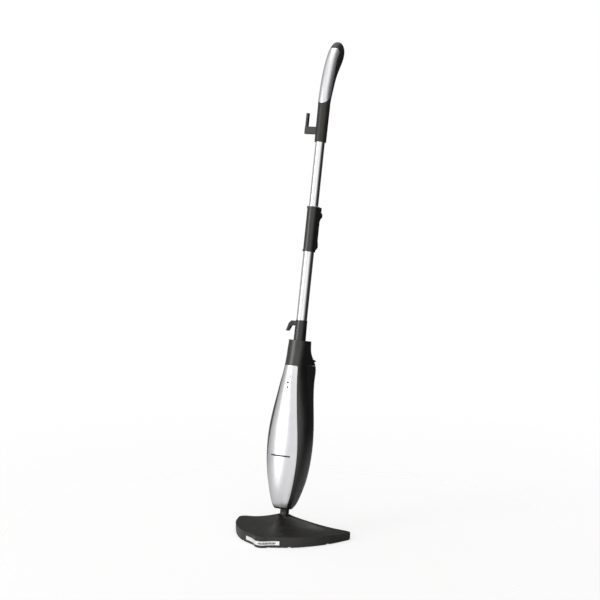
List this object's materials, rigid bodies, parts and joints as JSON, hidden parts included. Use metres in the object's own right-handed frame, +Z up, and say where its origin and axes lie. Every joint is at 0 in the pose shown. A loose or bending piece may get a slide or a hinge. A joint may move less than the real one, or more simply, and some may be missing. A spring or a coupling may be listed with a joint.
{
  "type": "steam mop",
  "caption": "Upright steam mop with a triangular floor head, swivelling neck, bottle-shaped body with rear water tank, telescopic pole and curved grip.",
  "frame": {"origin": "on the floor, directly below the neck pivot, in the plane of the floor head's flat underside", "axes": "+Z up, -Y towards the tip of the floor head and the bright front panel, +X to the right seen from the front; the parked pole leans back 12 degrees towards +Y"},
  "size_m": [0.3038, 0.3965, 1.1612],
  "materials": {
    "aluminium_cast": "cast aluminium",
    "black_plastic": "satin moulded black plastic",
    "board": "circuit board laminate",
    "brass": "brass",
    "dark_print": "dark grey inlay",
    "lens": "tinted indicator lens",
    "polished_tube": "polished metal tube",
    "rubber": "soft rubber",
    "silver_lacquer": "silver metallic lacquer on moulded plastic",
    "smoked_tank": "smoked dark tank plastic",
    "steel": "plated steel",
    "white_plastic": "natural white plastic"
  },
  "bodies": {
    "head": {"head_cover": "black_plastic", "head_trim": "silver_lacquer", "trim_inlay": "dark_print", "head_base": "black_plastic", "steam_plate": "aluminium_cast", "foot_pad_1": "rubber", "foot_pad_2": "rubber", "foot_pad_3": "rubber", "base_screw_1": "steel", "base_screw_2": "steel", "base_screw_3": "steel", "pivot_bracket": "steel", "pitch_pin": "steel", "steam_elbow": "brass", "detent_housing": "black_plastic", "detent_spring": "steel"},
    "detent": {"detent_pin": "steel"},
    "neck": {"neck_yoke": "black_plastic"},
    "snap_button": {"snap_button": "black_plastic"},
    "cord_hook": {"lower_hook": "black_plastic"},
    "clamp_lever": {"clamp_lever": "black_plastic"},
    "latch": {"tank_latch": "black_plastic"},
    "tank": {"water_tank": "smoked_tank", "tank_nipple": "white_plastic"},
    "tank_cap": {"tank_cap": "black_plastic"},
    "upper_pole": {"upper_tube": "polished_tube", "tube_guide": "white_plastic", "handle_body": "black_plastic", "handle_shell": "silver_lacquer", "handle_screw_1": "steel", "handle_screw_2": "steel"},
    "body": {"ankle_clevis": "black_plastic", "bay_screw_1": "steel", "bay_screw_2": "steel", "boiler": "aluminium_cast", "circuit_board": "board", "clamp_bush": "white_plastic", "cord_gland": "rubber", "coupler": "black_plastic", "front_panel": "silver_lacquer", "front_shell": "black_plastic", "heater_element": "steel", "hook_pivot": "steel", "latch_pin": "steel", "lever_pin": "steel", "lower_tube": "polished_tube", "name_badge": "dark_print", "panel_icon": "dark_print", "pole_collar": "black_plastic", "power_lens": "lens", "pump": "white_plastic", "pump_hose": "rubber", "ready_lens": "lens", "rear_shell": "black_plastic", "roll_pin": "steel", "steam_hose": "rubber", "thermostat": "steel", "tube_socket": "white_plastic", "valve_seat": "rubber", "water_hose": "rubber"}
  },
  "joints": [
    {"name": "neck_pitch", "type": "hinge", "parent": "head", "child": "neck", "pos_m": [0, 0, 0.038], "axis": [-1, 0, 0], "range_deg": [0, 48]},
    {"name": "neck_roll", "type": "hinge", "parent": "neck", "child": "body", "pos_m": [0, 0.00374, 0.05561], "axis": [0, 0.9781, -0.2079], "range_deg": [-30, 30]},
    {"name": "pole_slide", "type": "slide", "parent": "body", "child": "upper_pole", "axis": [0, 0.2079, 0.9781], "range_m": [-0.13, 0]},
    {"name": "clamp_lever", "type": "hinge", "parent": "body", "child": "clamp_lever", "pos_m": [0, 0.16197, 0.75192], "axis": [1, 0, 0], "range_deg": [0, 85]},
    {"name": "cord_hook_swivel", "type": "hinge", "parent": "body", "child": "cord_hook", "pos_m": [-0.0158, 0.08423, 0.50162], "axis": [-1, 0, 0], "range_deg": [0, 180]},
    {"name": "snap_button_press", "type": "slide", "parent": "body", "child": "snap_button", "axis": [0, 0.9781, -0.2079], "range_m": [0, 0.0025], "stiffness_N_per_m": 300},
    {"name": "tank_latch_lift", "type": "hinge", "parent": "body", "child": "latch", "pos_m": [0, 0.08654, 0.41627], "axis": [1, 0, 0], "range_deg": [0, 10], "stiffness_Nm_per_rad": 0.3, "springref_deg": -2.86},
    {"name": "tank_slide", "type": "slide", "parent": "body", "child": "tank", "axis": [0, 0.9781, -0.2079], "range_m": [0, 0.08]},
    {"name": "tank_cap_turn", "type": "hinge", "parent": "tank", "child": "tank_cap", "pos_m": [0, 0.09154, 0.3917], "axis": [0, 0.2079, 0.9781], "continuous": true},
    {"name": "detent_press", "type": "slide", "parent": "head", "child": "detent", "axis": [0, 0, 1], "range_m": [-0.003, 0], "stiffness_N_per_m": 300, "deforming": ["detent_spring"]}
  ]
}
